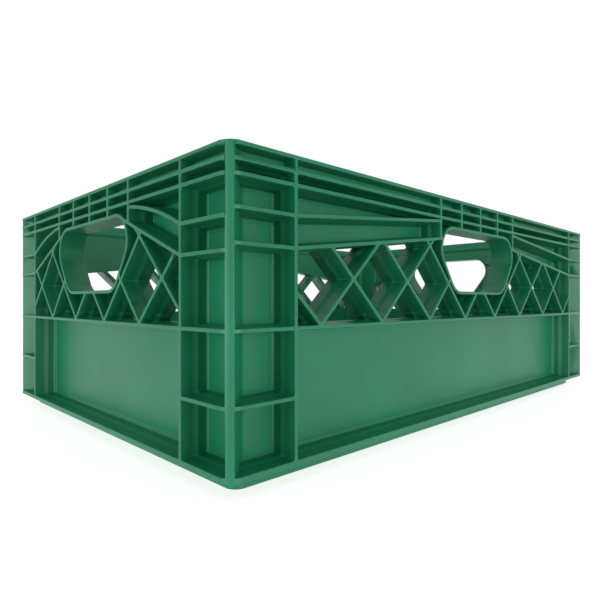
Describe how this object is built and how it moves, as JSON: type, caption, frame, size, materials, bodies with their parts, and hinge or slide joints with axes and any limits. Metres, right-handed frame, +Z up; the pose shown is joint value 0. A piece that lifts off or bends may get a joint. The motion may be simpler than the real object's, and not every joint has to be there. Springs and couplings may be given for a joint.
{
  "type": "stacking plastic crate",
  "caption": "Open-top rectangular stacking crate with ribbed corner posts, diagonal lattice sides, solid lower panels, a hand grip in each side and a recessed stacking foot.",
  "frame": {"origin": "under the middle of the crate, at the height of the foot's underside", "axes": "+X along the long side, +Y across the crate, +Z up"},
  "size_m": [0.6, 0.4, 0.206],
  "materials": {
    "green_plastic": "moulded polypropylene, fine satin texture"
  },
  "bodies": {
    "root": {"foot_ring": "green_plastic", "floor_panel": "green_plastic", "floor_ribs": "green_plastic", "base_flange_front": "green_plastic", "base_flange_rear": "green_plastic", "base_flange_left": "green_plastic", "base_flange_right": "green_plastic", "corner_post_front_left": "green_plastic", "corner_post_front_right": "green_plastic", "corner_post_rear_left": "green_plastic", "corner_post_rear_right": "green_plastic", "lower_panel_front": "green_plastic", "lower_panel_rear": "green_plastic", "lower_panel_left": "green_plastic", "lower_panel_right": "green_plastic", "lattice_front_left": "green_plastic", "lattice_front_right": "green_plastic", "lattice_rear_left": "green_plastic", "lattice_rear_right": "green_plastic", "lattice_left_front": "green_plastic", "lattice_left_rear": "green_plastic", "lattice_right_front": "green_plastic", "lattice_right_rear": "green_plastic", "upper_panel_front_left": "green_plastic", "upper_panel_front_right": "green_plastic", "upper_panel_rear_left": "green_plastic", "upper_panel_rear_right": "green_plastic", "upper_panel_left_front": "green_plastic", "upper_panel_left_rear": "green_plastic", "upper_panel_right_front": "green_plastic", "upper_panel_right_rear": "green_plastic", "hand_grip_front": "green_plastic", "hand_grip_rear": "green_plastic", "hand_grip_left": "green_plastic", "hand_grip_right": "green_plastic", "rim_front": "green_plastic", "rim_rear": "green_plastic", "rim_left": "green_plastic", "rim_right": "green_plastic"}
  },
  "joints": []
}
